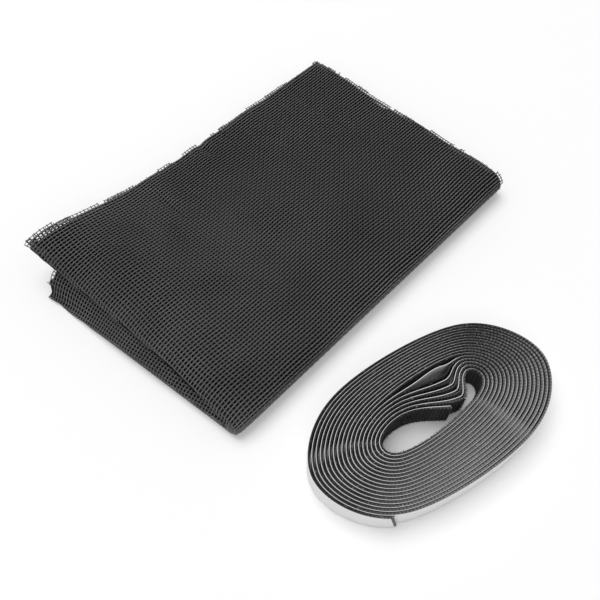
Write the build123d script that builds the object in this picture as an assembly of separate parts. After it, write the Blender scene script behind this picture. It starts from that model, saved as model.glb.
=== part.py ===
"""Window insect screen: a folded net with its coil of hook tape and release liner.

All lengths are millimetres. +X runs along the folded net's long side, +Y along its
short side, +Z up. The origin is under the middle of the whole.
"""

import os
from math import cos, exp, hypot, pi, radians, sin

from build123d import *

# Folded net
net_length = 166.0
net_width = 113.0
leaf_thickness = 5.5
leaf_gap = 0.8
bundle_slit = 0.4
end_web = 6.0
nose_stagger = 1.2
lower_leaf_swing = 11.5
lower_leaf_short = 12.0
lift_height = 11.0
lift_reach = 74.0
lift_start = 0.30
lower_puff = 0.45
tip_taper = 14.0
tip_share = 0.40

# Openings of the woven wall
thread_pitch = 1.411
threads_per_bar = 3
slot_width = 1.6
slot_margin = 5.0
crease_share = (0.355, 0.815)
crease_width = 4.0

# Wound tape
tape_width = 11.6
tape_thickness = 0.74
liner_thickness = 0.25
liner_bond_gap = 0.03
liner_inset = 0.1
turn_gap = 0.075
coil_turns = 17.427
coil_start = 86.4
former_half_length = 19.2
former_half_width = 5.2
former_clearance = 2.4
end_slack = 0.47
middle_drift = (-0.054, -0.014)
corner_skew = (0.030, -0.020)
dent_depth = 9.4
dent_step = 1.1
dent_turns = 5.6
dent_slopes = (15.0, 6.5)
dent_offset = 9.5
liner_slip = (0.6, 3.0)
flat_side = 0.88
steps_per_turn = 19
dent_steps = 3
step_bias = 0.25
coil_tilt = -14.6
coil_offset = (57.4, -46.3)

turn_pitch = tape_thickness + liner_bond_gap + liner_thickness + turn_gap
fold_radius = leaf_thickness + leaf_gap / 2
fold_height = 2 * leaf_thickness + leaf_gap
slit_level = (leaf_thickness - bundle_slit) / 2


def smooth(value):
    """Ease a share from 0 to 1."""
    share = min(1.0, max(0.0, value))
    return share * share * (3 - 2 * share)


def lift_at(x, y):
    """Height by which the upper leaf's free corner has sprung up at a point."""
    along = smooth(1 - x / lift_reach)
    across = smooth((y / net_width - lift_start) / (1 - lift_start))
    return lift_height * along * across


def puff_at(x, y):
    """Height by which the lower leaf's own fold has sprung open under the lifted corner."""
    return lower_puff * lift_at(x, y)


def lift_knots():
    """Places along the net where the sprung corner's slope changes."""
    return [lift_reach * share for share in (0.25, 0.5, 0.75, 1.0)]


def hairpin(y, base, thickness, low_nose, high_nose, low_lift, high_lift):
    """One section of a leaf: two bundles of plies joined by the fold at the +X end.

    The wire runs along the underside, round the lower nose, in and out of the slit,
    round the upper nose and back along the top. Each bundle follows its own lift.
    """
    bundle = (thickness - bundle_slit) / 2
    radius = bundle / 2
    knots = lift_knots()

    def at(x, height):
        lift = low_lift if height <= bundle else high_lift
        return Vector(x, y, base + height + lift(x, y))

    def run(start, stop, height):
        inner = [x for x in knots if min(start, stop) < x < max(start, stop)]
        stations = [start] + sorted(inner, reverse=start > stop) + [stop]
        points = [at(x, height) for x in stations]
        return [Line(a, b) for a, b in zip(points, points[1:])]

    def nose(x, height):
        low = at(x + radius, height)
        high = at(x + radius, height + bundle)
        tip = Vector(x, y, (low.Z + high.Z) / 2)
        return [ThreePointArc(low, tip, high)]

    upper = bundle + bundle_slit
    inside = net_length - end_web
    edges = run(net_length, low_nose + radius, 0)
    edges += nose(low_nose, 0)
    edges += run(low_nose + radius, inside, bundle)
    edges += [Line(at(inside, bundle), at(inside, upper))]
    edges += run(inside, high_nose + radius, upper)
    edges += nose(high_nose, upper)
    edges += run(high_nose + radius, net_length, thickness)
    edges += [Line(at(net_length, thickness), at(net_length, 0))]
    return Face(Wire(edges))


def flat(x, y):
    """No lift: the leaf lies on what is under it."""
    return 0.0


def lower_leaf():
    """The leaf on the floor, swung out a little and sprung open at its free end."""
    stop = net_width - lower_leaf_short
    sections = []
    for share in (0.0, 0.5, 1.0):
        y = fold_radius + (stop - fold_radius) * share
        swing = lower_leaf_swing * share
        low = nose_stagger - swing
        high = low + 4 * nose_stagger * share - nose_stagger * (1 - share)
        sections.append(hairpin(y, 0, leaf_thickness, low, high, flat, puff_at))
    return loft(sections, ruled=True)


def upper_leaf():
    """The leaf on top, thinned and sprung up toward its free corner."""
    level = leaf_thickness + leaf_gap
    taper_start = net_width - tip_taper
    sections = []
    for y in upper_stations():
        thin = smooth((y - taper_start) / tip_taper)
        thickness = leaf_thickness * (1 - thin * (1 - tip_share))
        base = level + leaf_thickness - thickness
        drift = -2 * nose_stagger * (y - fold_radius) / (net_width - fold_radius)
        high = nose_stagger + drift
        sections.append(hairpin(y, base, thickness, drift, high, lift_at, lift_at))
    return loft(sections, ruled=True)


def spine():
    """The last fold: the leaf's own section turned half round."""
    section = hairpin(fold_radius, 0, leaf_thickness, nose_stagger, 0.0, flat, flat)
    axis = Axis((0, fold_radius, fold_radius), (-1, 0, 0))
    return revolve(section, axis, 180)


def upper_stations():
    """Places across the net where the upper leaf has a section."""
    taper_start = net_width - tip_taper
    shares = (0.0, 0.35, 0.6, 0.8, 1.0)
    return [fold_radius + (taper_start - fold_radius) * share for share in shares] + [net_width]


def lift_between(x, y):
    """Height of the sprung corner on the straight lines between sections and knots."""
    stations = upper_stations()
    after = next(place for place in stations[1:] if y <= place)
    before = stations[stations.index(after) - 1]
    share = (y - before) / (after - before)
    return lift_at(x, before) * (1 - share) + lift_at(x, after) * share


def weave_slots():
    """Openings between the bars of the top wall, each as deep as the upper bundle."""
    pitch = thread_pitch * threads_per_bar
    floor_level = leaf_thickness + leaf_gap + slit_level + bundle_slit / 2
    roof_level = fold_height + lift_height + 1.0
    stops = [slot_margin] + [net_length * share for share in crease_share]
    stops += [net_length - end_web]
    rows = int((net_width - tip_taper - fold_radius - slot_margin) / pitch)
    slots = []
    for row in range(rows):
        y = fold_radius + slot_margin / 2 + pitch * (row + 0.5)
        for start, stop in zip(stops, stops[1:]):
            first = start + crease_width / 2
            last = stop - crease_width / 2
            bends = [first] + [x for x in lift_knots() if first < x < last] + [last]
            floor_line = [(x, floor_level + lift_between(x, y)) for x in bends]
            outline = Polyline(*floor_line, (last, roof_level), (first, roof_level), close=True)
            slot = extrude(Plane.XZ * make_face(outline), slot_width / 2, both=True)
            slots.append(Pos(0, y, 0) * slot)
    return slots


def folded_net():
    """The whole net: two leaves and the spine between them, one sheet."""
    body = spine() + lower_leaf() + upper_leaf()
    return body - weave_slots()


def wound(angle, slip=(0.0, 0.0)):
    """A point on the tape's inner face, in the coil's own axes.

    The tape is wound on an oval former; the turns grow outward by one pitch, more
    loosely round the ends, their middle drifts a little, and the inner turns are
    pushed in on one flat, gently on one side of the dent and steeply on the other.
    A strip that slips hangs back in the dent by so many steps of it, and by more in
    the outermost dented turn.
    """
    turn = (angle - radians(coil_start)) / (2 * pi)
    half = former_half_length + end_slack * turn
    width = former_half_width
    c, s = cos(angle), sin(angle)
    oval = hypot(half * c, width * s)
    skew_c, skew_s = corner_skew
    reach = oval + former_clearance + turn_pitch * turn
    reach += turn * (skew_c * cos(4 * angle) + skew_s * sin(4 * angle))
    slope = (width * width - half * half) * s * c / oval
    slope += 4 * turn * (skew_s * cos(4 * angle) - skew_c * sin(4 * angle))
    x = reach * c - slope * s + middle_drift[0] * turn
    y = reach * s + slope * c + middle_drift[1] * turn
    if turn < dent_turns:
        side = 1 / (1 + exp(-8 * s))
        gentle, steep = dent_slopes
        away = (x - dent_offset) / (gentle if x < dent_offset else steep)
        share = exp(-away * away)
        hang = slip[0] if turn < dent_turns - 1 else slip[1]
        y -= (dent_depth - dent_step * (turn + hang * share)) * side * share
    return x, y


def winding_angles():
    """Angles of the tape's normal at each facet, closer together on the flats and in the dent."""
    first = radians(coil_start)
    last = first + 2 * pi * coil_turns
    angles = [first]
    count = round(coil_turns * steps_per_turn)
    dented = first + 2 * pi * dent_turns
    for step in range(count + 2):
        even = first + 2 * pi * step / steps_per_turn
        after = even + step_bias * sin(2 * even)
        before = angles[-1]
        if after <= before:
            continue
        after = min(after, last)
        on_flat = sin((before + after) / 2) > flat_side and before < dented
        parts = dent_steps if on_flat else 1
        angles += [before + (after - before) * part / parts for part in range(1, parts + 1)]
        if after == last:
            break
    return angles


def strip(inner, outer, inset, slip=(0.0, 0.0)):
    """A wound strip between two offsets from the tape's inner face, inset from the tape's edges."""
    near = []
    far = []
    for angle in winding_angles():
        x, y = wound(angle, slip)
        ahead = wound(angle + 0.002, slip)
        behind = wound(angle - 0.002, slip)
        along = Vector(ahead[0] - behind[0], ahead[1] - behind[1]).normalized()
        out = Vector(along.Y, -along.X)
        near.append(Vector(x, y) + out * inner)
        far.append(Vector(x, y) + out * outer)
    outline = Polyline(*near, *reversed(far), close=True)
    return Pos(0, 0, inset) * extrude(make_face(outline), tape_width - 2 * inset)


def placed(solid):
    """Move a coil piece from its own axes to its place beside the net."""
    return Pos(coil_offset[0], coil_offset[1], 0) * Rot(0, 0, coil_tilt) * solid


liner_inner = tape_thickness + liner_bond_gap
liner_outer = liner_inner + liner_thickness
nodes = {
    "screen_net": folded_net(),
    "hook_tape": placed(strip(0, tape_thickness, 0)),
    "release_liner": placed(strip(liner_inner, liner_outer, liner_inset, liner_slip)),
}

whole = Compound(children=[Part(node.wrapped) for node in nodes.values()]).bounding_box()
shift = Pos(-whole.center().X, -whole.center().Y, -whole.min.Z)

os.makedirs("parts", exist_ok=True)
for name, node in nodes.items():
    export_step(shift * node, f"parts/{name}.step")
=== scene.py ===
"""Dresses the folded insect screen and its coil of hook tape, in metres, in the CAD frame."""

import logging
import math
import random
from dataclasses import dataclass, field
from enum import Enum
from typing import Callable, Optional, Union

import bmesh
import bpy
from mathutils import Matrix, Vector

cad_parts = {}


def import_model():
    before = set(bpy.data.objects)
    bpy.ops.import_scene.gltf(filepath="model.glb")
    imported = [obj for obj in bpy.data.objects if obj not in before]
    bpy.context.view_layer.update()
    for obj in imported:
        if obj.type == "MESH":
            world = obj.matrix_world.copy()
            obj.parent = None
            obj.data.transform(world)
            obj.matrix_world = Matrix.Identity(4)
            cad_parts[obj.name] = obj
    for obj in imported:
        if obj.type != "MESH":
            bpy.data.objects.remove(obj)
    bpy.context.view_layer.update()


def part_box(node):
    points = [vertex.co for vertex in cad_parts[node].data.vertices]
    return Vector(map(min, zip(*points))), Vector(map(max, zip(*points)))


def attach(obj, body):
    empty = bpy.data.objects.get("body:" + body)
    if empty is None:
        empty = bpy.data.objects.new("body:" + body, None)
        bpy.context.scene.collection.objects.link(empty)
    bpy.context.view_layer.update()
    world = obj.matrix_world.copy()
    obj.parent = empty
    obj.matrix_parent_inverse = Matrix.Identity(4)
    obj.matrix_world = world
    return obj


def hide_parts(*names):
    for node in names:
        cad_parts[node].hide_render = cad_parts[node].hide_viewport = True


MM = 0.001
LOG = logging.getLogger("insect_screen")
Number = Union[int, float]
Colour = tuple[float, float, float]
Span = tuple[float, float]
LOOSE_END: Span = (0.05, 0.4)
COIL_PLACE = Vector((57.4 * MM, -46.3 * MM, 0.0))


def eased(share: float) -> float:
    """Ease a share from 0 to 1, clamped outside that range."""
    clear = min(1.0, max(0.0, share))
    return clear * clear * (3 - 2 * clear)


def ramp(place: float, span: Span) -> float:
    """How far a place is along a stretch, given by its start and length, eased from 0 to 1."""
    return eased((place - span[0]) / span[1])


def bell(distance: float, reach: float) -> float:
    """A smooth bump that is 1 at no distance and fades out past its reach."""
    return math.exp(-((distance / reach) ** 2))


class Signal:
    """A shader value that takes part in Python expressions by adding Math nodes."""

    def __init__(self, graph: "Graph", socket: bpy.types.NodeSocket) -> None:
        """Wrap one output socket of a graph."""
        self.graph = graph
        self.socket = socket

    def _math(self, operation: str, *others: Union["Signal", Number]) -> "Signal":
        """Add a Math node with this value first.

        Args:
            operation: The Math node's operation.
            others: The values or signals that follow.

        Returns:
            The node's output.
        """
        return self.graph.math(operation, self, *others)

    def __add__(self, other: Union["Signal", Number]) -> "Signal":
        """Sum."""
        return self._math("ADD", other)

    __radd__ = __add__

    def __sub__(self, other: Union["Signal", Number]) -> "Signal":
        """Difference."""
        return self._math("SUBTRACT", other)

    def __rsub__(self, other: Number) -> "Signal":
        """A number less this value."""
        return self.graph.math("SUBTRACT", other, self)

    def __mul__(self, other: Union["Signal", Number]) -> "Signal":
        """Product."""
        return self._math("MULTIPLY", other)

    __rmul__ = __mul__

    def __truediv__(self, other: Union["Signal", Number]) -> "Signal":
        """Quotient."""
        return self._math("DIVIDE", other)

    def __pow__(self, other: Union["Signal", Number]) -> "Signal":
        """Power."""
        return self._math("POWER", other)

    def above(self, level: Number) -> "Signal":
        """1 where this value is above a level, else 0."""
        return self._math("GREATER_THAN", level)

    def wave(self, period: float) -> "Signal":
        """A wave from 0 to 1 that repeats once in each period of this value."""
        return (self * (2 * math.pi / period))._math("SINE") * 0.5 + 0.5

    def clamped(self) -> "Signal":
        """This value held between 0 and 1."""
        return self._math("MAXIMUM", 0.0)._math("MINIMUM", 1.0)


class Graph:
    """The node tree of one material, with a Principled shader at its end."""

    def __init__(self, name: str) -> None:
        """Start a material.

        Args:
            name: The material's name.
        """
        self.material = bpy.data.materials.new(name)
        self.material.use_nodes = True
        self.tree = self.material.node_tree
        self.shader = self.tree.nodes["Principled BSDF"]

    def node(
        self,
        kind: str,
        settings: Optional[dict] = None,
        inputs: Optional[dict] = None,
    ) -> bpy.types.Node:
        """Add a node.

        Args:
            kind: The node's type.
            settings: Properties that are set first.
            inputs: Values or signals for its sockets, by name or place.

        Returns:
            The new node.
        """
        made = self.tree.nodes.new(kind)
        for key, value in (settings or {}).items():
            setattr(made, key, value)
        for key, value in (inputs or {}).items():
            self.feed(made.inputs[key], value)
        return made

    def feed(self, socket: bpy.types.NodeSocket, value: object) -> None:
        """Set a socket's value, or link a signal to it.

        Args:
            socket: The socket.
            value: A plain value or a signal.
        """
        if isinstance(value, Signal):
            self.tree.links.new(value.socket, socket)
        else:
            socket.default_value = value

    def math(self, operation: str, *values: Union[Signal, Number]) -> Signal:
        """Add a Math node.

        Args:
            operation: The node's operation.
            values: Its inputs in order.

        Returns:
            The result.
        """
        made = self.node("ShaderNodeMath", {"operation": operation}, dict(enumerate(values)))
        return Signal(self, made.outputs[0])

    def coordinates(self, kind: str) -> Signal:
        """Texture coordinates by the output's name, such as Object or UV."""
        return Signal(self, self.node("ShaderNodeTexCoord").outputs[kind])

    def split(self, vector: Signal) -> tuple[Signal, Signal, Signal]:
        """The three parts of a vector.

        Args:
            vector: The vector.

        Returns:
            Its x, y and z.
        """
        made = self.node("ShaderNodeSeparateXYZ", None, {"Vector": vector})
        x, y, z = (Signal(self, out) for out in made.outputs)
        return x, y, z

    def noise(self, where: Signal, scale: float, detail: float = 2.0) -> Signal:
        """Noise from 0 to 1 over some coordinates.

        Args:
            where: The coordinates.
            scale: Features per metre.
            detail: Octaves of finer noise.

        Returns:
            The noise.
        """
        made = self.node(
            "ShaderNodeTexNoise", None, {"Vector": where, "Scale": scale, "Detail": detail}
        )
        return Signal(self, made.outputs["Fac"])

    def blend(self, factor: Signal, low: Union[Colour, Signal], high: Union[Colour, Signal]) -> Signal:
        """A colour between two colours.

        Args:
            factor: 0 for the first, 1 for the second.
            low: The first colour, red, green and blue, or its signal.
            high: The second colour.

        Returns:
            The colour.
        """
        ends = [end if isinstance(end, Signal) else (*end, 1.0) for end in (low, high)]
        made = self.node("ShaderNodeMix", {"data_type": "RGBA"}, {0: factor, 6: ends[0], 7: ends[1]})
        return Signal(self, made.outputs[2])

    def bump(self, height: Signal, depth: float, strength: float) -> None:
        """Raise the surface by a height from 0 to 1.

        Args:
            height: The height.
            depth: What 1 stands for, in metres.
            strength: Share of the effect.
        """
        made = self.node(
            "ShaderNodeBump",
            None,
            {"Height": height, "Distance": depth, "Strength": strength},
        )
        self.tree.links.new(made.outputs["Normal"], self.shader.inputs["Normal"])

    def surface(self, **sockets: object) -> None:
        """Set the shader's sockets, with underscores for the spaces in their names."""
        for key, value in sockets.items():
            self.feed(self.shader.inputs[key.replace("_", " ")], value)


@dataclass(frozen=True)
class YarnFinish:
    """Coated charcoal yarn with a low sheen; its copies are painted lighter and darker as light and shade,
    one for each place the yarn lies.
    """

    name: str
    shade: Colour = (0.050, 0.050, 0.053)
    # The paler colour of the noise patches; with a fade span it is also the painted light toward -X.
    pale_patch: Colour = (0.085, 0.085, 0.088)
    roughness: float = 0.46
    sheen: float = 0.35
    fade: Optional[Span] = None
    patch_scale: float = 70.0
    grain_scale: float = 2600.0
    sweep_scale: float = 26.0

    def material(self) -> bpy.types.Material:
        """Build the material: patchy charcoal with a faint grain along the yarn, and with a fade span
        painted light toward -X and painted shade toward +X.

        Returns:
            The material.
        """
        graph = Graph(self.name)
        place = graph.coordinates("Object")
        patches = graph.noise(place, self.patch_scale)
        grain = graph.noise(place, self.grain_scale, 1.0)
        sweeps = graph.noise(place, self.sweep_scale, 1.0)
        mix = (patches * 0.5 + sweeps * 0.9 + grain * 0.6 - 0.65).clamped()
        # Painted light and shade: the patches fade out between the span's ends, so the yarn is painted lit
        # toward -X and shaded toward +X.
        if self.fade:
            first, last = self.fade
            x, _, _ = graph.split(place)
            mix = mix * (1 - ((x - first) / (last - first)).clamped())
        graph.surface(
            Base_Color=graph.blend(mix, self.shade, self.pale_patch),
            Roughness=grain * 0.2 + (self.roughness - 0.1),
            Specular_IOR_Level=self.sheen,
        )
        return graph.material


@dataclass(frozen=True)
class PlyFinish:
    """The deeper plies of the net: the weave is drawn from the cut's own coordinates, painted dark as the
    shade inside the pad and lighter at its open end and edge.
    """

    name: str
    across: float
    along: float
    width: float
    length: float
    corner: Vector
    # Painted shade: yarn and openings dark as deep in the pad; the rim colours are painted lighter where
    # the cut end and the +Y edge stand open to the light.
    yarn: Colour = (0.015, 0.015, 0.016)
    opening: Colour = (0.004, 0.004, 0.004)
    rim_yarn: Colour = (0.110, 0.110, 0.114)
    rim_opening: Colour = (0.028, 0.028, 0.029)
    line_level: float = 0.72
    rim_run: float = 1.0 * MM
    rim_start: float = 1.6
    sheen: float = 0.05
    relief: float = 0.2 * MM

    def material(self) -> bpy.types.Material:
        """Build the material: yarn lines over openings painted dark as shade, painted lighter at the rims.

        Returns:
            The material.
        """
        graph = Graph(self.name)
        u, v, _ = graph.split(graph.coordinates("UV"))
        lines = (u * self.length).wave(self.across).above(self.line_level)
        cross = (v * self.width).wave(self.along).above(self.line_level)
        mesh = graph.math("MAXIMUM", lines, cross)
        x, y, _ = graph.split(graph.coordinates("Object"))
        past_end = (x - self.corner.x) / self.rim_run + self.rim_start
        past_edge = (y - self.corner.y) / self.rim_run + self.rim_start
        rim = graph.math("MAXIMUM", past_end, past_edge).clamped()
        # Painted shade inside the pad, painted light on the open rims.
        inside = graph.blend(mesh, self.opening, self.yarn)
        outside = graph.blend(mesh, self.rim_opening, self.rim_yarn)
        graph.surface(
            Base_Color=graph.blend(rim, inside, outside),
            Roughness=mesh * -0.25 + 0.8,
            Specular_IOR_Level=self.sheen,
        )
        graph.bump(mesh, self.relief, 0.5)
        return graph.material


@dataclass(frozen=True)
class TapeFinish:
    """Black woven tape: ribs across it with their crowns painted as highlights, stronger toward +X and -Y,
    and a few pale flecks of fibre.
    """

    name: str
    length: float
    middle: Vector
    rib: float = 1.25 * MM
    shade: Colour = (0.005, 0.005, 0.005)
    # Painted highlight: the colour of the rib and fibre crowns where they catch the light.
    crown: Colour = (0.350, 0.350, 0.356)
    fleck: Colour = (0.54, 0.54, 0.54)
    # Painted light: the crowns' highlight grows toward +X and -Y, the coil's lit sides.
    lit_side_lean: Span = (0.15, 0.99)
    lit_side_run: float = 25 * MM
    lit_side_start: float = 0.2
    fibre_scale: float = 1900.0
    fleck_scale: float = 1300.0
    fleck_level: float = 0.71
    sheen: float = 0.12
    relief: float = 0.12 * MM

    def material(self) -> bpy.types.Material:
        """Build the material from the length along the tape and noise, with a painted highlight on the
        crowns.

        Returns:
            The material.
        """
        graph = Graph(self.name)
        place = graph.coordinates("Object")
        u, _, _ = graph.split(graph.coordinates("UV"))
        ribs = (u * self.length).wave(self.rib)
        fibre = graph.noise(place, self.fibre_scale, 2.0)
        flecks = graph.noise(place, self.fleck_scale, 1.0).above(self.fleck_level)
        height = ribs * 0.6 + fibre * 0.7
        x, y, _ = graph.split(place)
        # Painted light: the crowns' highlight is stronger toward +X and -Y.
        right, near = self.lit_side_lean
        lit_side = (x - self.middle.x) * right - (y - self.middle.y) * near
        lit_side = lit_side / self.lit_side_run + self.lit_side_start
        pale = (height * 0.9 - 0.15).clamped() * (lit_side.clamped() * 0.9 + 0.1)
        base = graph.blend(pale, self.shade, self.crown)
        graph.surface(
            Base_Color=graph.blend(flecks * 0.6, base, self.fleck),
            Roughness=fibre * 0.25 + 0.5,
            Specular_IOR_Level=self.sheen,
        )
        graph.bump(height, self.relief, 0.7)
        return graph.material


@dataclass(frozen=True)
class LinerFinish:
    """White coated film with a soft sheen and faint handling marks."""

    name: str
    shade: Colour = (0.79, 0.79, 0.79)
    clean: Colour = (0.85, 0.85, 0.85)
    mark_scale: float = 160.0

    def material(self) -> bpy.types.Material:
        """Build the material: near white, a little uneven.

        Returns:
            The material.
        """
        graph = Graph(self.name)
        place = graph.coordinates("Object")
        marks = graph.noise(place, self.mark_scale, 3.0)
        graph.surface(
            Base_Color=graph.blend(marks, self.shade, self.clean),
            Roughness=marks * 0.15 + 0.34,
        )
        return graph.material


@dataclass(frozen=True)
class HookFinish:
    """Black hooks of stiff thread, a little glossy."""

    name: str
    shade: Colour = (0.015, 0.015, 0.016)
    tip: Colour = (0.07, 0.07, 0.074)
    patch_scale: float = 1500.0
    sheen: float = 0.2

    def material(self) -> bpy.types.Material:
        """Build the material: black with paler patches.

        Returns:
            The material.
        """
        graph = Graph(self.name)
        patches = graph.noise(graph.coordinates("Object"), self.patch_scale, 1.0)
        graph.surface(
            Base_Color=graph.blend((patches * 1.6 - 0.4).clamped(), self.shade, self.tip),
            Roughness=patches * 0.2 + 0.32,
            Specular_IOR_Level=self.sheen,
        )
        return graph.material


@dataclass(frozen=True)
class FloorFinish:
    """A plain white floor that keeps the shadow and is white where nothing shades it."""

    name: str = "floor_white"
    shade: float = 0.85
    lift: float = 0.11

    def material(self) -> bpy.types.Material:
        """Build the material, a little brighter to the camera than it reflects.

        Returns:
            The material.
        """
        graph = Graph(self.name)
        path = graph.node("ShaderNodeLightPath")
        seen = Signal(graph, path.outputs["Is Camera Ray"])
        glossy = Signal(graph, path.outputs["Is Glossy Ray"])
        clear = Signal(graph, path.outputs["Is Transmission Ray"])
        watched = (seen + glossy + clear).clamped()
        graph.surface(
            Base_Color=(self.shade, self.shade, self.shade, 1.0),
            Roughness=1.0,
            Specular_IOR_Level=0.0,
            Emission_Color=graph.blend(watched, (0.0, 0.0, 0.0), (self.lift, self.lift, self.lift)),
            Emission_Strength=1.0,
        )
        return graph.material


def new_piece(name: str, mesh: bpy.types.Mesh, finish: bpy.types.Material) -> bpy.types.Object:
    """Put a mesh into the scene as a piece of the object.

    Args:
        name: The piece's name.
        mesh: Its mesh, in place.
        finish: Its material.

    Returns:
        The piece.
    """
    mesh.materials.clear()
    mesh.materials.append(finish)
    piece = bpy.data.objects.new(name, mesh)
    bpy.context.scene.collection.objects.link(piece)
    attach(piece, "root")
    return piece


def yarn_mesh(name: str, lines: list[list[Vector]], radius: float) -> bpy.types.Mesh:
    """Thin yarns along lines of points.

    Args:
        name: The mesh's name.
        lines: The points of each yarn.
        radius: The yarn's radius.

    Returns:
        One mesh of all the yarns, shaded smooth.
    """
    curve = bpy.data.curves.new(name, "CURVE")
    curve.dimensions = "3D"
    curve.bevel_depth = radius
    curve.bevel_resolution = 0
    for line in lines:
        spline = curve.splines.new("POLY")
        spline.points.add(len(line) - 1)
        spline.points.foreach_set("co", [part for p in line for part in (*p, 1.0)])
    drawn = bpy.data.objects.new(name, curve)
    bpy.context.scene.collection.objects.link(drawn)
    graph = bpy.context.evaluated_depsgraph_get()
    mesh = bpy.data.meshes.new_from_object(drawn.evaluated_get(graph))
    bpy.data.objects.remove(drawn)
    bpy.data.curves.remove(curve)
    mesh.shade_smooth()
    return mesh


class FoldAxis(Enum):
    """Which way the net is halved."""

    SHORT = 0
    LONG = 1


@dataclass(frozen=True)
class Wave:
    """A sine wave over the net: its height in millimetres, and how far one radian runs in metres."""

    height: float
    along: float
    across: float
    phase: float = 0.0

    def at(self, x: float, y: float) -> float:
        """The wave's height at a place."""
        return self.height * math.sin(x / self.along + y / self.across + self.phase)


@dataclass(frozen=True)
class Dent:
    """A short pinch in the top ply."""

    x: float
    y: float
    length: float
    reach: float
    depth: float


@dataclass(frozen=True)
class NetPly:
    """One ply that is woven thread by thread."""

    name: str
    depth: float
    turn: float = 0.0
    slide: float = 0.0
    end_patch: float = 0.0
    edge_gap: float = 0.0
    edge_patch: float = 0.0
    wraps: bool = False
    hem: float = 0.0
    hem_start: float = 0.0


@dataclass
class Nose:
    """The rounded end of a folded leaf, half an oval, measured along its skin."""

    reach: float
    half: float
    steps: int = 48

    def __post_init__(self) -> None:
        """Work out how far along the skin each angle lies."""
        self.marks = [0.0]
        for step in range(self.steps):
            angle = math.pi * (step + 0.5) / self.steps
            skin = math.hypot(self.reach * math.cos(angle), self.half * math.sin(angle))
            self.marks.append(self.marks[-1] + skin * math.pi / self.steps)

    @property
    def skin(self) -> float:
        """Length of the skin from one face of the leaf to the other."""
        return self.marks[-1]

    def at(self, distance: float) -> tuple[float, float]:
        """Where a point of the skin is.

        Args:
            distance: Length along the skin from the outer face.

        Returns:
            How far it stands out, and how far it is below the outer face.
        """
        step = 0
        while step < self.steps - 1 and self.marks[step + 1] < distance:
            step += 1
        share = (distance - self.marks[step]) / (self.marks[step + 1] - self.marks[step])
        angle = math.pi * (step + share) / self.steps
        return self.reach * math.sin(angle), self.half * (1 - math.cos(angle))


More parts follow.
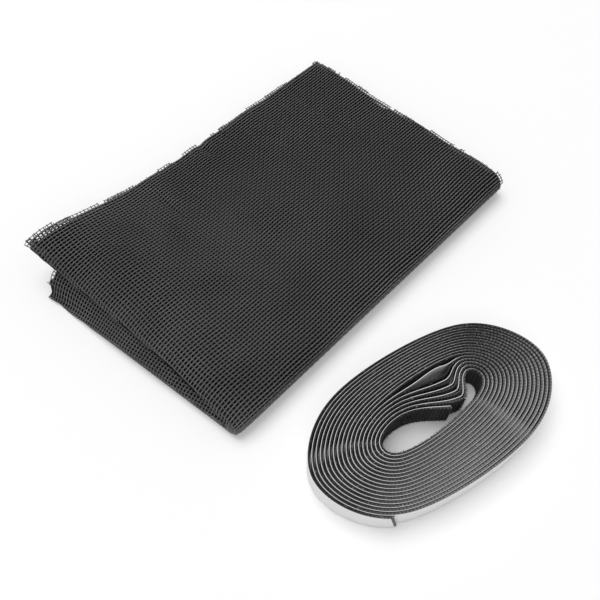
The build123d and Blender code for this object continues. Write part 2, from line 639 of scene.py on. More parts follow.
@dataclass
class FoldedNet:
    """The net, halved five times into a pad, with its last fold along the -Y side."""

    origin: Vector
    length: float = 166 * MM
    width: float = 113 * MM
    leaf: float = 5.5 * MM
    fold_radius: float = 5.9 * MM
    nose_start: float = 2.2 * MM
    nose_reach: float = 1.8 * MM
    nose_thick: float = 1.8 * MM
    low_reach: float = 1.4 * MM
    roll_depth: float = 4.2 * MM
    roll_reach: float = 13 * MM
    spine_round: float = 0.3 * MM
    tip_taper: float = 20 * MM
    tip_curl: float = 1.8 * MM
    tip_reach: float = 2.4 * MM
    lift_height: float = 8.0 * MM
    lift_reach: float = 72 * MM
    lift_crest: float = 14 * MM
    drift: float = 6.7 * MM
    swing: float = 12.6 * MM
    lower_short: float = 9.0 * MM
    stretch: float = 2.4 * MM
    along_pitch: float = 1.411 * MM
    across_pitch: float = 1.5875 * MM
    yarn_radius: float = 0.22 * MM
    weave_height: float = 0.09 * MM
    clear: float = 0.37 * MM
    lift_power: float = 1.3
    curl_reach: float = 30 * MM
    curl_span: Span = (85 * MM, 28 * MM)
    thin_roll: float = 0.6
    thin_head: float = 0.6
    tip_thin: float = 0.9
    tip_slim: float = 0.75
    tip_run: float = 26 * MM
    close_turn: float = 0.6
    least_nose: Span = (0.12 * MM, 0.08 * MM)
    drift_span: Span = (35 * MM, 78 * MM)
    drift_power: float = 1.5
    low_tall: float = 5.2 * MM
    low_swell: float = 1.0 * MM
    low_swell_span: Span = (20 * MM, 25 * MM)
    low_fall: float = 0.8
    low_fall_span: Span = (55 * MM, 40 * MM)
    low_tip: tuple = (2.2 * MM, 5.4 * MM, 1.3 * MM)
    low_notch: tuple = (3.4 * MM, 3.1 * MM, 1.0 * MM)
    low_back: float = 1.0 * MM
    low_spare: float = 2 * MM
    least_rise: float = 0.2 * MM
    roof_follow: float = 0.92
    roof_slope: float = 0.85
    roof_steepen: float = 1.4
    roof_span: Span = (70 * MM, 30 * MM)
    roof_pull: float = 0.78
    roof_step: float = 0.2 * MM
    face_step: float = 0.4 * MM
    nose_step: float = 0.05 * MM
    stretch_span: Span = (2 * MM, 26 * MM)
    tighten: float = 0.04
    tighten_start: float = 120 * MM
    patch_middle: float = 76 * MM
    patch_reach: float = 25 * MM
    blotch: Span = (0.62, 0.38)
    blotch_runs: Span = (2.9 * MM, 7.3 * MM)
    blotch_phase: float = 0.8
    end_short: float = 2.0 * MM
    end_spare: float = 3 * MM
    edge_span: Span = (4 * MM, 30 * MM)
    jag_mean: float = 0.45
    jag_waves: tuple = ((0.35, 0.19, 0.0), (0.3, 0.53, 1.0))
    jag_spread: Span = (-0.12, 0.15)
    jag_phases: float = 40
    rim: float = 6 * MM
    hidden_run: float = 30 * MM
    spine_share: float = 0.6
    slide_share: float = 0.6
    tuck: float = 3 * MM
    tuck_low: float = 13 * MM
    yarn_stand: float = 0.05 * MM
    grid: tuple[int, int] = (192, 160)
    core_head: float = 1.75 * MM
    core_bend: float = 0.88
    core_spare: float = 0.1 * MM
    core_short: float = 3.0 * MM
    core_depth: float = 0.4 * MM
    core_back: float = 0.5 * MM
    core_round: float = 0.8 * MM
    core_patch: float = 4.2 * MM
    core_power: float = 1.3
    core_follow: float = 0.85
    core_least: float = 0.25 * MM
    core_edge_share: float = 0.3
    core_low_head: float = 1.0 * MM
    core_low_back: float = 1.4 * MM
    core_low_share: float = 0.1
    hem_width: float = 2.4 * MM
    hem_count: int = 4
    hem_first: float = 1.9
    # Run from the net's corner over which the across and deep yarns go from painted light to painted shade.
    fade_span: Span = (10 * MM, 95 * MM)
    hem_slide: float = 0.35 * MM
    hem_starts: Span = (40 * MM, 78 * MM)
    cut: Span = (0.67, 0.90)
    swell: float = 0.8
    swell_waves: tuple = (
        Wave(0.42, 8.1 * MM, 17 * MM),
        Wave(0.34, -21 * MM, 6.3 * MM, 1.3),
        Wave(0.22, 4.4 * MM, -9.5 * MM, 0.4),
    )
    stray_along: tuple = (
        Wave(0.26, math.inf, 9 * MM, 1.1),
        Wave(0.14, 30 * MM, 4.1 * MM),
    )
    stray_across: tuple = (
        Wave(0.28, 11 * MM, math.inf, 0.3),
        Wave(0.12, 4.7 * MM, -25 * MM),
    )
    calm_reach: float = 18 * MM
    crease_depth: float = 0.45 * MM
    crease_reach: float = 1.5 * MM
    crease_slant: float = 0.03
    creases: tuple = (59 * MM, 136 * MM)
    dents: tuple = (
        Dent(51 * MM, 92 * MM, 9 * MM, 1.6 * MM, 1.3 * MM),
        Dent(85 * MM, 108 * MM, 6 * MM, 2.5 * MM, 1.6 * MM),
        Dent(88 * MM, 70 * MM, 10 * MM, 3.0 * MM, 0.5 * MM),
    )
    folds: tuple = (
        FoldAxis.SHORT,
        FoldAxis.LONG,
        FoldAxis.SHORT,
        FoldAxis.LONG,
        FoldAxis.SHORT,
    )
    pieces: list = field(default_factory=list)

    def lift(self, x: float, y: float) -> float:
        """Height by which the top leaf has sprung up toward its free corner.

        Args:
            x: Place along the net.
            y: Place across it.

        Returns:
            The height above the flat part.
        """
        rising = (self.lift_reach - x) / (self.lift_reach - self.lift_crest)
        along = min(1.0, max(0.0, rising)) ** self.lift_power
        across = min(1.0, max(0.0, (y - self.fold_radius) / (self.width - self.fold_radius)))
        curl = eased(1 - x / self.curl_reach) * ramp(y, self.curl_span)
        return self.lift_height * along * across + self.tip_curl * curl

    def droop(self, x: float, v: float) -> float:
        """How far the top face has rolled down toward the folded end.

        Args:
            x: Place along the net.
            v: Length over the top from the spine.

        Returns:
            The drop, from a quarter oval.
        """
        share = min(1.0, max(0.0, 1 - (x - self.nose_place(v)) / self.roll_reach))
        depth = self.roll_depth * (1 - self.thin_roll * self.thinning(v))
        return depth * (1 - math.sqrt(1 - share * share))

    def ripple(self, x: float, y: float) -> float:
        """Height of the waves, creases and dents in the top face.

        Args:
            x: Place along the net.
            y: Place across it.

        Returns:
            The height.
        """
        height = sum(wave.at(x, y) for wave in self.swell_waves) * MM * self.swell
        for place in self.creases:
            height -= self.crease_depth * bell(x - place - self.crease_slant * y, self.crease_reach)
        for dent in self.dents:
            height -= dent.depth * bell(x - dent.x, dent.reach) * bell(y - dent.y, dent.length)
        return height * ramp(y, (self.fold_radius, self.calm_reach))

    def face(self, x: float, v: float) -> Vector:
        """A point of the outer face.

        Args:
            x: Place along the net.
            v: Length over the top from the spine; below 0 it runs round the spine and beneath.

        Returns:
            The point, from the net's own corner.
        """
        droop = self.droop(x, v)
        if v >= 0:
            y = self.fold_radius + v
            roof = 2 * self.fold_radius - droop
            return Vector((x, y, roof + self.lift(x, y) + self.ripple(x, y)))
        turn = -v / self.fold_radius
        radius = self.fold_radius - droop / 2
        if turn <= math.pi:
            y = self.fold_radius - (radius + droop / 4) * math.sin(turn)
            share = (1 + math.cos(turn)) / 2
            return Vector((x, y, self.clear + (2 * radius - self.clear) * share))
        return Vector((x, self.fold_radius + self.under_run(v), self.clear))

    def out(self, x: float, v: float) -> Vector:
        """The outward normal of the outer face.

        Args:
            x: Place along the net.
            v: Length over the top from the spine.

        Returns:
            The direction, one long.
        """
        step = self.face_step
        along = self.face(x + step, v) - self.face(x - step, v)
        across = self.face(x, v + step) - self.face(x, v - step)
        return along.cross(across).normalized()

    def under_run(self, v: float) -> float:
        """How far a place lies along the lower leaf, past the spine."""
        return max(0.0, -v - math.pi * self.fold_radius)

    def nose_place(self, v: float) -> float:
        """Where the leaf's folded end is along X.

        Args:
            v: Length over the top from the spine.

        Returns:
            The place of the outermost fold.
        """
        if v >= 0:
            start, run = self.drift_span
            lean = max(0.0, (self.fold_radius + v - start) / run)
            return self.nose_start - self.drift * lean**self.drift_power
        rounded = self.spine_round * math.sin(min(math.pi, -v / self.fold_radius))
        swung = self.swing * self.under_run(v) / (self.width - self.lower_short)
        return self.nose_start + rounded - swung

    def thinning(self, v: float) -> float:
        """How far the leaf has thinned toward the sprung corner, 0 to 1."""
        return eased((v + self.fold_radius - self.width + self.tip_taper) / self.tip_taper)

    def low_nose(self, y: float) -> float:
        """Height of the lower leaf's folded end: tall beside the spine, low at the free end.

        Args:
            y: Place across the net.

        Returns:
            The height.
        """
        tall = self.low_tall + self.low_swell * ramp(y, self.low_swell_span)
        return tall * (1 - self.low_fall * ramp(y, self.low_fall_span))

    def low_roof(self, x: float, y: float) -> float:
        """Height of the lower leaf's top, which rises from its end until it meets the upper leaf.

        Args:
            x: Place along the net.
            y: Place across it.

        Returns:
            The height.
        """
        end = self.low_nose(y)
        rise = max(self.least_rise, self.leaf + self.roof_follow * self.lift(x, y) - end)
        lower_v = self.fold_radius - y - math.pi * self.fold_radius
        run = max(0.0, x - self.nose_place(lower_v) - self.low_reach)
        slope = self.roof_slope + self.roof_steepen * ramp(y, self.roof_span)
        return end + rise * math.tanh(slope * run / rise)

    def nose(self, v: float, depth: float) -> Nose:
        """The rounded end of the leaf: thin at the sprung corner, thick on the lower leaf.

        Args:
            v: Length over the top from the spine.
            depth: How far the ply is below the outer face.

        Returns:
            The rounded end that the ply takes.
        """
        thin = self.thinning(v)
        share = eased(-v / (math.pi * self.fold_radius))
        low = self.low_nose(self.fold_radius + self.under_run(v))
        thick = self.nose_thick * (1 - self.tip_thin * thin) * (1 - share) + low * share
        turn = -v / self.fold_radius
        around = eased(turn / self.close_turn) * eased((math.pi - turn) / self.close_turn)
        thick += around * max(0.0, self.fold_radius - self.roll_depth / 2 - thick)
        reach = self.nose_reach * (1 - self.tip_slim * thin) * (1 - share) + self.low_reach * share
        least_reach, least_half = self.least_nose
        return Nose(max(least_reach, reach - depth), max(least_half, thick / 2 - depth))

    def skin(self, x: float, v: float, depth: float) -> tuple[Vector, Vector, float]:
        """A point of a ply and its outward direction.

        Args:
            x: Place along the net, as if its folded end were not rounded.
            v: Length over the top from the spine.
            depth: How far the ply is below the outer face.

        Returns:
            The point, the direction, and how far past the rounded end it lies.
        """
        nose = self.nose(v, depth)
        start = self.nose_place(v) + nose.reach + depth
        if x >= start:
            out = self.out(x, v)
            return self.face(x, v) - out * depth, out, 0.0
        run = start - x
        if run <= nose.skin:
            stand, fall = nose.at(run)
            ahead = nose.at(min(nose.skin, run + self.nose_step))
            place = start - stand
            up = self.out(place, v)
            point = self.face(place, v) - up * (depth + fall)
            along = Vector((stand - ahead[0], 0.0, 0.0)) - up * (ahead[1] - fall)
            side = Vector((1, 0, 0)).cross(up)
            return point, along.cross(side).normalized(), 0.0
        past = run - nose.skin
        if v < -math.pi * self.fold_radius:
            y = self.fold_radius + self.under_run(v)
            place = start + past * self.roof_pull
            step = self.roof_step
            tilt = (self.low_roof(place + step, y) - self.low_roof(place - step, y)) / (2 * step)
            roof = Vector((place, y, self.low_roof(place, y) - depth))
            return roof, Vector((-tilt, 0.0, 1.0)).normalized(), past
        up = self.out(start + past, v)
        return self.face(start + past, v) - up * (depth + 2 * nose.half), -up, past

    def wander(self, x: float, v: float) -> tuple[float, float]:
        """How far the yarns have strayed from their places in the weave.

        Args:
            x: Place along the net.
            v: Length over the top from the spine.

        Returns:
            The stray along and across the net.
        """
        stray_x = sum(wave.at(x, v) for wave in self.stray_along) * MM
        stray_v = sum(wave.at(x, v) for wave in self.stray_across) * MM
        return stray_x, stray_v

    def stretched(self, x: float) -> float:
        """Where a yarn across the net lies: wider apart near the folded end, closer at the cut end.

        Args:
            x: Its place in an even weave.

        Returns:
            Its place along the net.
        """
        pulled = self.stretch * (1 - ramp(x, self.stretch_span))
        return x - pulled - self.tighten * max(0.0, x - self.tighten_start)

    def end_patch(self, v: float) -> float:
        """Where the plies beneath fall short of the top ply's cut end, 0 to 1.

        Args:
            v: Length over the top from the spine.

        Returns:
            The share.
        """
        y = self.fold_radius + v
        level, depth = self.blotch
        fine, broad = self.blotch_runs
        blotch = level + depth * math.sin(y / fine) * math.sin(y / broad + self.blotch_phase)
        return bell(y - self.patch_middle, self.patch_reach) * blotch

    def end_lean(self, y: float) -> float:
        """How far the cut end falls short of square toward the free corner."""
        return self.end_short * (max(0.0, y) / self.width) ** 2

    def low_limit(self, z: float) -> float:
        """How far the lower leaf's end reaches: two bundles' tips with a notch between them.

        Args:
            z: Height in the leaf.

        Returns:
            The place across the net.
        """
        tip, notch = (
            length * bell(z - level, reach) for length, level, reach in (self.low_tip, self.low_notch)
        )
        return self.width - self.lower_short - self.low_back + tip - notch

    def edge_patch(self, x: float) -> float:
        """Where the plies beneath fall short of the top ply's +Y edge, 0 to 1."""
        return 1 - ramp(x, self.edge_span)

    def jag(self, number: float, chance: random.Random) -> float:
        """How far back a yarn was cut.

        Args:
            number: The yarn's number from the edge.
            chance: The source of the small differences between neighbours.

        Returns:
            The length by which it falls short of the pad's edge.
        """
        waves = (share * math.sin(number * rate + phase) for share, rate, phase in self.jag_waves)
        return (sum(waves, self.jag_mean) + chance.uniform(*self.jag_spread)) * MM

    def weave(self, ply: NetPly) -> tuple[list[list[Vector]], list[list[Vector]]]:
        """The lines of one ply's yarns.

        Args:
            ply: The ply.

        Returns:
            The yarns along the net, and those across it.
        """
        chance = random.Random(ply.name)
        rim = self.rim
        top = self.width - self.fold_radius
        spine = math.pi * self.fold_radius
        deepest = spine + top - self.lower_short + self.low_spare if ply.wraps else spine * self.spine_share
        hidden = self.hidden_run + self.swing
        columns = int((self.length + hidden) / self.across_pitch)
        highest = top + self.tip_reach
        rows = int((highest + deepest) / self.along_pitch)
        phase = chance.uniform(0, self.jag_phases)
        jag_end = [self.jag(j + phase, chance) for j in range(rows)]
        jag_edge = [self.jag(i + phase, chance) for i in range(columns)]
        along: list[list[Optional[Vector]]] = [[] for _ in range(rows)]
        across: list[list[Optional[Vector]]] = [[] for _ in range(columns)]
        for j in range(rows):
            for i in range(columns):
                flat_x = self.stretched(self.length + self.end_spare - i * self.across_pitch)
                flat_v = highest - j * self.along_pitch
                stray_x, stray_v = self.wander(flat_x, flat_v)
                x = flat_x + ply.turn * (flat_v - top / 2) + ply.slide + stray_x
                v = flat_v - ply.turn * (flat_x - self.length / 2)
                v = v + ply.slide * self.slide_share + stray_v
                end = self.length - jag_end[j] - ply.end_patch * self.end_patch(v)
                end -= self.end_lean(self.fold_radius + v)
                edge = top - jag_edge[i] - ply.edge_gap - ply.edge_patch * self.edge_patch(x)
                edge += self.tip_reach * eased(1 - x / self.tip_run)
                under = self.under_run(v)
                reached = x <= end and v <= edge
                if ply.hem > 0:
                    rim_side = x > end - ply.hem or v > edge - ply.hem
                    reached = reached and rim_side and x > ply.hem_start and v > 0
                reached = reached and (under < rim or x < self.nose_place(v) + self.nose_reach + rim)
                if reached:
                    point, up, past = self.skin(x, v, ply.depth)
                    reached = past <= (self.tuck_low if under > 0 else self.tuck)
                    reached = reached and (under == 0 or point.y < self.low_limit(point.z) - jag_edge[i])
                if not reached:
                    along[j].append(None)
                    across[i].append(None)
                    continue
                rise = self.weave_height * (1 if (i + j) % 2 else -1)
                along[j].append(self.origin + point + up * (rise + self.yarn_stand))
                across[i].append(self.origin + point - up * (rise + self.yarn_stand))
        return self.runs(along, chance), self.runs(across, chance)

    @staticmethod
    def runs(lines: list[list[Optional[Vector]]], chance: random.Random) -> list[list[Vector]]:
        """Cut lines at their gaps, and let each run stick out a little where it was cut off.

        Args:
            lines: Points of each yarn, with nothing where the ply has ended.
            chance: The source of the loose ends' lengths.

        Returns:
            The runs of two points or more.
        """
        whole: list[list[Vector]] = []
        for line in lines:
            run: list[Vector] = []
            for point in [*line, None]:
                if point is not None:
                    run.append(point)
                    continue
                if len(run) > 1:
                    loose = run[0] + (run[0] - run[1]) * chance.uniform(*LOOSE_END)
                    whole.append([loose, *run])
                run = []
        return whole

    def folded(self, a: float, b: float) -> tuple[float, float, float]:
        """Follow a point of the flat cut through the folds.

        Args:
            a: Its share of the long side, 0 to 1.
            b: Its share of the short side's run, 0 to 1.

        Returns:
            Its share along the pad from the cut ends, its share across it from the
            loose edge, and its share of the height.
        """
        spans = {FoldAxis.LONG: 1.0, FoldAxis.SHORT: 1.0}
        place = {FoldAxis.LONG: a, FoldAxis.SHORT: b}
        layer = 0
        count = 1
        for axis in self.folds:
            middle = spans[axis] / 2
            if place[axis] > middle:
                place[axis] = spans[axis] - place[axis]
                layer = 2 * count - 1 - layer
            spans[axis] = middle
            count *= 2
        along = place[FoldAxis.LONG] / spans[FoldAxis.LONG]
        across = place[FoldAxis.SHORT] / spans[FoldAxis.SHORT]
        return along, across, layer / (count - 1)

    def plies(self, finish: bpy.types.Material) -> bpy.types.Object:
        """The whole cut, folded: a flat grid moved through the folds.

        Args:
            finish: Its material.

        Returns:
            The piece.
        """
        mesh = bpy.data.meshes.new("net_plies")
        work = bmesh.new()
        work.loops.layers.uv.new("cut")
        wide, deep = self.grid
        bmesh.ops.create_grid(work, x_segments=wide, y_segments=deep, size=0.5, calc_uvs=True)
        for vert in work.verts:
            vert.co = self.origin + self.packed(vert.co.x + 0.5, vert.co.y + 0.5)
        bmesh.ops.recalc_face_normals(work, faces=work.faces)
        for quad in work.faces:
            quad.smooth = True
        work.to_mesh(mesh)
        work.free()
        return new_piece("net_plies", mesh, finish)

    def packed(self, a: float, b: float) -> Vector:
        """Where a point of the flat cut lies in the pad, under the woven plies.

        Args:
            a: Its share of the long side.
            b: Its share of the short side.

        Returns:
            The place, from the net's own corner; on a fold it is half way between its sides.
        """
        nudge = 0.0004
        sides = [(a + da, b + db) for da in (-nudge, nudge) for db in (-nudge, nudge)]
        spots = [self.stacked(*self.folded(*side)) for side in sides]
        return sum(spots, Vector()) / len(spots)

    def stacked(self, along: float, across: float, level: float) -> Vector:
        """Where a place of the folded stack lies in the pad.

        Args:
            along: Share along the pad from the cut ends.
            across: Share across it from the loose edge.
            level: Share of the height.

        Returns:
            The place, from the net's own corner.
        """
        head = self.core_head
        bend_start = self.core_bend
        upper = level > 0.5
        rank = level * 2 - 1 if upper else level * 2
        loose = self.width - self.lower_short - self.core_short
        if upper:
            loose = self.width + self.core_spare
        y = loose - (loose - self.fold_radius) * min(1.0, across / bend_start)
        v = y - self.fold_radius
        skin_v = v if upper else -v - math.pi * self.fold_radius
        nose = self.nose(skin_v, self.core_depth)
        lean = 1 - math.sqrt(max(0.0, 1 - (2 * rank - 1) ** 2))
        turn = max(0.0, across - bend_start) / (1 - bend_start) * math.pi / 2
        first = self.nose_place(skin_v) + self.core_back + nose.reach * lean
        first += (self.spine_round + self.core_round) * math.sin(turn)
        last = self.length + self.core_spare - self.end_lean(y)
        last -= self.core_patch * self.end_patch(v) ** 2
        x = last - (last - first) * (1 - (1 - along) ** self.core_power)
        droop = self.droop(x, v)
        if upper:
            y -= self.core_depth * self.edge_patch(x) * eased(1 - across / self.core_edge_share)
            slab = self.leaf - head * (1 - self.thin_head * self.thinning(v)) - droop
            slab *= 1 - self.tip_slim * self.thinning(v)
            roof = 2 * self.fold_radius - head - droop * self.core_follow
            z = roof - max(self.core_least, slab) * (1 - rank)
            z = z + self.lift(x, y) + self.ripple(x, y) * rank
        else:
            z = self.core_depth + (self.low_roof(x, y) - self.core_low_head) * rank
            short = eased(1 - across / self.core_low_share)
            y += (self.low_limit(z) - self.core_low_back - loose) * short
        if across > bend_start:
            middle = self.fold_radius - droop / 2
            y = self.fold_radius - abs(z - middle) * math.sin(turn)
            z = middle + (z - middle) * math.cos(turn)
        return Vector((x, y, z))

    def hems(self) -> list[NetPly]:
        """The rims of the deeper plies, woven where the open edges show them.

        Returns:
            A ply for each rim: one under the top ply, the upper leaf's, then the lower leaf's.
        """
        made = [NetPly("net_hem_top", depth=0.3 * MM, slide=0.75 * MM, hem=self.hem_width)]
        upper_start, lower_start = self.hem_starts
        for number in range(self.hem_count):
            depth = (self.hem_first + number) * MM
            slide = self.hem_slide * (number % 3)
            made.append(
                NetPly(
                    f"net_hem_{number}",
                    depth=depth,
                    slide=slide,
                    hem=self.hem_width,
                    hem_start=upper_start,
                )
            )
            made.append(
                NetPly(
                    f"net_hem_low_{number}",
                    depth=depth + self.leaf,
                    slide=slide,
                    edge_gap=self.lower_short + 1 * MM,
                    hem=self.hem_width,
                    hem_start=lower_start,
                )
            )
        return made

    def build(self) -> list[bpy.types.Object]:
        """Build the plies and the woven yarns, and hide the CAD net they replace.

        Returns:
            The pieces.
        """
        # Painted light and shade: one charcoal yarn in lit and shaded copies. Yarns along the net are
        # painted lit, yarns across it painted shaded, and the deeper plies' yarn painted dark as the shade
        # inside the pad; across and deep yarns are painted lighter toward -X over the fade span.
        along_yarn = YarnFinish(
            "net_yarn_along", shade=(0.128, 0.128, 0.132), pale_patch=(0.226, 0.226, 0.231)
        )
        first, last = self.fade_span
        left_fade = (self.origin.x + first, self.origin.x + last)
        across_yarn = YarnFinish(
            "net_yarn_across",
            shade=(0.020, 0.020, 0.021),
            pale_patch=(0.170, 0.170, 0.174),
            fade=left_fade,
        )
        deep_yarn = YarnFinish(
            "net_yarn_deep",
            shade=(0.004, 0.004, 0.004),
            pale_patch=(0.055, 0.055, 0.057),
            roughness=0.6,
            sheen=0.06,
            fade=left_fade,
        )
        top_lit_and_shaded = {"along": along_yarn.material(), "across": across_yarn.material()}
        deep_painted_shade = deep_yarn.material()
        ply_finish = PlyFinish(
            "net_plies_weave",
            across=self.across_pitch,
            along=self.along_pitch,
            width=self.cut[1],
            length=self.cut[0],
            corner=self.origin + Vector((self.length, self.width, 0.0)),
        )
        core = self.plies(ply_finish.material())
        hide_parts("screen_net")
        threads: list[bpy.types.Object] = []
        for ply in (
            NetPly("net_face", depth=0.0, wraps=True),
            NetPly(
                "net_second",
                depth=0.62 * MM,
                turn=0.021,
                slide=0.4 * MM,
                end_patch=0.6 * MM,
                edge_patch=0.3 * MM,
            ),
            NetPly(
                "net_third",
                depth=1.24 * MM,
                turn=-0.017,
                slide=0.9 * MM,
                end_patch=3.2 * MM,
                edge_patch=0.8 * MM,
            ),
        ):
            for way, lines in zip(("along", "across"), self.weave(ply)):
                name = f"{ply.name}_{way}"
                # Painted light and shade: the top ply takes the lit and shaded copies, the deeper plies the
                # painted shade.
                painted_lighting = top_lit_and_shaded[way] if ply.wraps else deep_painted_shade
                piece = new_piece(name, yarn_mesh(name, lines, self.yarn_radius), painted_lighting)
                threads.append(piece)
        lines = [line for ply in self.hems() for way in self.weave(ply) for line in way]
        # Painted shade: the rims of the deeper plies get the same yarn painted darker than the top ply's
        # lit yarns along the net.
        hem_yarn = YarnFinish(
            "net_yarn_hem", shade=(0.050, 0.050, 0.052), pale_patch=(0.140, 0.140, 0.144)
        )
        hem = new_piece("net_hem", yarn_mesh("net_hem", lines, self.yarn_radius), hem_yarn.material())
        threads.append(hem)
        self.pieces = [core, *threads]
        return self.pieces


@dataclass(frozen=True)
class WoundStrip:
    """One strip of the coil, measured from the tape's inner face and edges."""

    name: str
    offset: float
    thick: float
    inset: float = 0.0
    slip: tuple = (0.0, 0.0)
    short: float = 0.0


@dataclass
class TapeCoil:
    """The hook tape and its release liner, wound on a thin oval former and dented on one flat."""

    centre: Vector
    tilt: float = math.radians(-14.6)
    width: float = 11.6 * MM
    pitch: float = 1.095 * MM
    tape: float = 0.62 * MM
    hook_depth: float = 0.16 * MM
    cut_slant: float = 2.3 * MM
    bond: float = 0.02 * MM
    liner: float = 0.19 * MM
    liner_inset: float = 0.32 * MM
    liner_short: float = 0.8 * MM
    liner_slip: tuple = (0.41, 2.2)
    turns: float = 17.439
    twist: float = math.radians(6.5)
    start: float = math.radians(86.4)
    half_length: float = 20.2 * MM
    half_width: float = 4.2 * MM
    clearance: float = 2.4 * MM
    slack: tuple = (0.4125 * MM, 0.0575 * MM)
    eye_shift: tuple = (-1.0 * MM, 1.0 * MM)
    drift: tuple = (0.0034 * MM, -0.0715 * MM)
    skew: tuple = (0.030 * MM, -0.020 * MM)
    dent_depth: float = 12.4 * MM
    dent_step: float = 1.62 * MM
    dent_turns: float = 5.6
    dent_slopes: tuple = (15.0 * MM, 6.0 * MM)
    dent_offset: float = 11.2 * MM
    steps_per_turn: int = 110
    marks_per_turn: int = 720
    hook_spacing: float = 0.85 * MM
    hook_radius: float = 0.09 * MM
    hooked_turns: float = 1.02
    slant_steps: int = 4
    angle_step: float = 0.002
    dent_edge: float = 8.0
    hook_rows: int = 12
    hook_pitch: float = 0.95 * MM
    hook_first: float = 0.5 * MM
    hook_stray: Span = (0.25 * MM, 0.2 * MM)
    hook_lean: float = 0.35 * MM
    hook_reach: Span = (0.40 * MM, 0.62 * MM)
    hook_bend: Span = (0.3, 0.9)
    rim_hook: float = 10.95 * MM
    rim_lean: float = 0.5 * MM
    rim_reach: float = 0.10 * MM
    pieces: list = field(default_factory=list)

    def wound(self, angle: float, slip: tuple = (0.0, 0.0)) -> Vector:
        """A point on the tape's inner face, on the floor.

        Args:
            angle: Winding angle of the tape's normal, from the coil's long axis.
            slip: Steps of the dent by which a strip hangs back in it, in the inner dented
                turns and in the outermost one.

        Returns:
            The point in the row's frame.
        """
        turn = (angle - self.start) / (2 * math.pi)
        half = self.half_length + self.slack[0] * turn
        wide = self.half_width + self.slack[1] * turn
        c, s = math.cos(angle), math.sin(angle)
        oval = math.hypot(half * c, wide * s)
        skew_c, skew_s = self.skew
        reach = oval + self.clearance + self.pitch * turn
        reach += turn * (skew_c * math.cos(4 * angle) + skew_s * math.sin(4 * angle))
        slope = (wide**2 - half**2) * s * c / oval
        slope += 4 * turn * (skew_s * math.cos(4 * angle) - skew_c * math.sin(4 * angle))
        x = reach * c - slope * s + self.eye_shift[0] + self.drift[0] * turn
        y = reach * s + slope * c + self.eye_shift[1] + self.drift[1] * turn
        if turn < self.dent_turns:
            side = 1 / (1 + math.exp(-self.dent_edge * s))
            gentle, steep = self.dent_slopes
            share = bell(x - self.dent_offset, gentle if x < self.dent_offset else steep)
            hang = slip[0] if turn < self.dent_turns - 1 else slip[1]
            y -= (self.dent_depth - self.dent_step * (turn + hang * share)) * side * share
        turned = self.tilt + self.twist * max(0.0, 1 - turn / self.turns)
        turned_x = x * math.cos(turned) - y * math.sin(turned)
        turned_y = x * math.sin(turned) + y * math.cos(turned)
        return self.centre + Vector((turned_x, turned_y, 0.0))

    def outward(self, angle: float, slip: tuple = (0.0, 0.0)) -> Vector:
        """The direction away from the eye at a winding angle.

        Args:
            angle: The winding angle.
            slip: How far the strip hangs back in the dent.

        Returns:
            The direction, one long.
        """
        step = self.angle_step
        along = self.wound(angle + step, slip) - self.wound(angle - step, slip)
        return Vector((along.y, -along.x, 0.0)).normalized()

    def marks(self) -> list[tuple[float, float]]:
        """Winding angles in small even steps, each with its length so far.

        Returns:
            The angles and lengths.
        """
        last = self.start + 2 * math.pi * self.turns
        count = int(self.turns * self.marks_per_turn)
        sampled = [self.start + (last - self.start) * step / count for step in range(count + 1)]
        lengths = [0.0]
        before = self.wound(sampled[0])
        for angle in sampled[1:]:
            here = self.wound(angle)
            lengths.append(lengths[-1] + (here - before).length)
            before = here
        return list(zip(sampled, lengths))

    def strip(self, kind: WoundStrip, finish: bpy.types.Material) -> bpy.types.Object:
        """A wound strip: a flat grid moved on to the spiral and given its thickness.

        Args:
            kind: The strip's place and sizes.
            finish: Its material.

        Returns:
            The piece.
        """
        marks = self.marks()
        total = marks[-1][1] - kind.short
        count = int(self.turns * self.steps_per_turn)
        places: list[tuple[Vector, Vector]] = []
        at = 0
        for step in range(count + 1):
            wanted = total * step / count
            while at < len(marks) - 2 and marks[at + 1][1] < wanted:
                at += 1
            span = marks[at + 1][1] - marks[at][1]
            share = (wanted - marks[at][1]) / span if span else 0.0
            angle = marks[at][0] + (marks[at + 1][0] - marks[at][0]) * share
            places.append((self.wound(angle, kind.slip), self.outward(angle, kind.slip)))
        work = bmesh.new()
        work.loops.layers.uv.new("strip")
        bmesh.ops.create_grid(work, x_segments=count, y_segments=2, size=0.5, calc_uvs=True)
        for vert in work.verts:
            point, out = places[round((vert.co.x + 0.5) * count)]
            height = kind.inset + (vert.co.y + 0.5) * (self.width - 2 * kind.inset)
            late = max(0.0, (vert.co.x + 0.5) * count - count + self.slant_steps) / self.slant_steps
            onward = Vector((-out.y, out.x, 0.0)) * (-vert.co.y * self.cut_slant * late)
            vert.co = point + out * kind.offset + onward + Vector((0.0, 0.0, height))
        bmesh.ops.recalc_face_normals(work, faces=work.faces)
        mesh = bpy.data.meshes.new(kind.name)
        work.to_mesh(mesh)
        work.free()
        piece = new_piece(kind.name, mesh, finish)
        wall = piece.modifiers.new("thickness", "SOLIDIFY")
        wall.thickness = kind.thick
        wall.offset = self.thick_side(mesh)
        wall.use_even_offset = False
        return piece

    def thick_side(self, mesh: bpy.types.Mesh) -> float:
        """Which way a wall grows so that it lies outside the inner face.

        Args:
            mesh: The strip's inner face.

        Returns:
            1 or -1.
        """
        face = mesh.polygons[len(mesh.polygons) // 3]
        away = face.center - self.centre
        return 1.0 if face.normal.dot(Vector((away.x, away.y, 0.0))) > 0 else -1.0

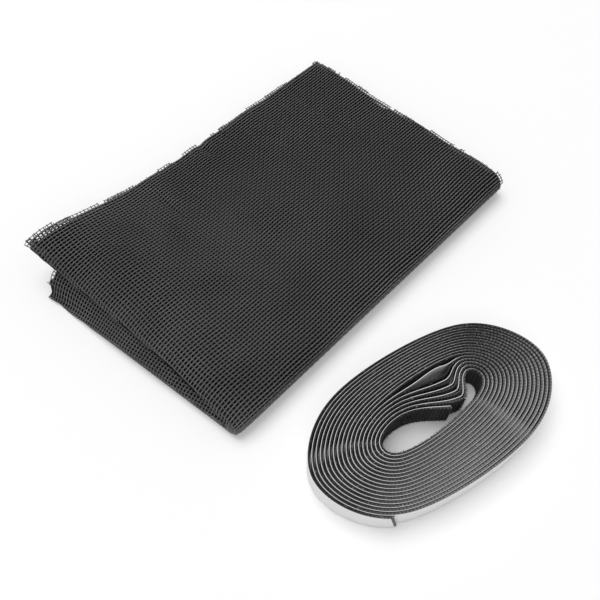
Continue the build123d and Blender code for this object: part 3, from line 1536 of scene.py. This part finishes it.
    def hooks(self, finish: bpy.types.Material) -> bpy.types.Object:
        """Rows of small hooks on the tape's inner face, where the eye shows them.

        Args:
            finish: Their material.

        Returns:
            The piece.
        """
        chance = random.Random("hooks")
        aside, rise = self.hook_stray
        marks = self.marks()
        lines: list[list[Vector]] = []
        next_at = self.hook_spacing
        for angle, length in marks:
            if length < next_at:
                continue
            next_at += self.hook_spacing
            turn = (angle - self.start) / (2 * math.pi)
            out = self.outward(angle)
            point = self.wound(angle) + out * self.hook_depth
            along = Vector((-out.y, out.x, 0.0))
            full = turn < self.hooked_turns
            heights = [self.rim_hook]
            if full:
                heights = [row * self.hook_pitch + self.hook_first for row in range(self.hook_rows)]
            for height in heights:
                root = point + along * chance.uniform(-aside, aside)
                root += Vector((0.0, 0.0, height + chance.uniform(-rise, rise)))
                lean = Vector((0.0, 0.0, chance.choice((-1, 1)) * self.hook_lean))
                tall = chance.uniform(*self.hook_reach)
                if not full:
                    lean = Vector((0.0, 0.0, self.rim_lean))
                    tall = self.rim_reach
                bend, drop = self.hook_bend
                crown = root - out * tall + lean * bend
                lines.append([root, crown, root - out * tall * drop + lean])
        mesh = yarn_mesh("tape_hooks", lines, self.hook_radius)
        return new_piece("tape_hooks", mesh, finish)

    def build(self) -> list[bpy.types.Object]:
        """Build the strips and the hooks, and hide the CAD tape and liner they replace.

        Returns:
            The pieces.
        """
        length = self.marks()[-1][1]
        LOG.info("tape length %.3f m", length)
        web = WoundStrip("tape_web", self.hook_depth, self.tape)
        tape = self.strip(web, TapeFinish("tape_black", length, self.centre).material())
        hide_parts("hook_tape")
        film = WoundStrip(
            "tape_liner",
            self.hook_depth + self.tape + self.bond,
            self.liner,
            self.liner_inset,
            self.liner_slip,
            self.liner_short,
        )
        liner = self.strip(film, LinerFinish("liner_white").material())
        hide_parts("release_liner")
        hooks = self.hooks(HookFinish("hook_black").material())
        self.pieces = [tape, liner, hooks]
        return self.pieces


@dataclass(frozen=True)
class SoftLamp:
    """A square soft light over the object, its side in metres and its power in watts."""

    name: str
    place: Vector
    size: float
    power: float


@dataclass
class Studio:
    """The floor, the soft light and the camera at the photograph's viewpoint."""

    corner: Vector
    foot: tuple = (-44 * MM, -76.5 * MM)
    height: float = 240.4 * MM
    pitch: float = math.radians(58.5)
    heading: float = math.radians(46.0)
    focal_pixels: float = 683.0
    frame_pixels: float = 600.0
    sensor: float = 36.0
    nearest: float = 0.01
    sky: float = 0.40
    floor_half: float = 3.0
    lamps: tuple = (
        SoftLamp("overhead", Vector((0.12, 1.10, 2.98)).freeze(), 2.2, 60.0),
        SoftLamp("front", Vector((-1.50, -1.30, 2.40)).freeze(), 2.0, 22.0),
    )

    def floor(self) -> bpy.types.Object:
        """A wide white floor.

        Returns:
            The floor.
        """
        work = bmesh.new()
        bmesh.ops.create_grid(work, x_segments=1, y_segments=1, size=self.floor_half)
        mesh = bpy.data.meshes.new("floor")
        work.to_mesh(mesh)
        work.free()
        mesh.materials.append(FloorFinish().material())
        ground = bpy.data.objects.new("floor", mesh)
        bpy.context.scene.collection.objects.link(ground)
        return ground

    def lamp(self, kind: SoftLamp) -> None:
        """Hang a soft light that faces the middle of the object.

        Args:
            kind: The light.
        """
        light = bpy.data.lights.new(kind.name, "AREA")
        light.size = kind.size
        light.energy = kind.power
        hung = bpy.data.objects.new(kind.name, light)
        hung.location = kind.place
        hung.rotation_euler = (-kind.place).to_track_quat("-Z", "Y").to_euler()
        bpy.context.scene.collection.objects.link(hung)

    def light(self) -> None:
        """An even white surround and two large soft lamps overhead."""
        world = bpy.data.worlds.new("surround")
        world.use_nodes = True
        sky = world.node_tree.nodes["Background"]
        sky.inputs["Color"].default_value = (1.0, 1.0, 1.0, 1.0)
        sky.inputs["Strength"].default_value = self.sky
        bpy.context.scene.world = world
        for kind in self.lamps:
            self.lamp(kind)

    def camera(self) -> None:
        """The camera at the photograph's place."""
        lens = bpy.data.cameras.new("photo_view")
        lens.sensor_width = self.sensor
        lens.lens = self.focal_pixels / self.frame_pixels * self.sensor
        lens.clip_start = self.nearest
        eye = bpy.data.objects.new("photo_view", lens)
        eye.location = self.corner + Vector((*self.foot, self.height))
        eye.rotation_euler = (math.pi / 2 - self.pitch, 0.0, -self.heading)
        bpy.context.scene.collection.objects.link(eye)
        bpy.context.scene.camera = eye

    def build(self) -> None:
        """Set the stage."""
        bpy.context.scene.view_settings.view_transform = "Standard"
        self.floor()
        self.light()
        self.camera()


def main() -> None:
    """Build the net, the coil and the studio in order."""
    logging.basicConfig(level=logging.INFO)
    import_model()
    _, net_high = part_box("screen_net")
    net = FoldedNet(Vector((0.0, 0.0, 0.0)))
    net.origin = Vector((net_high.x - net.length, net_high.y - net.width, 0.0))
    coil = TapeCoil(net.origin + COIL_PLACE)
    builders: list[Callable[[], list[bpy.types.Object]]] = [net.build, coil.build]
    for build in builders:
        for piece in build():
            LOG.info("%s: %d faces", piece.name, len(piece.data.polygons))
    Studio(net.origin).build()


if __name__ == "__main__":
    main()
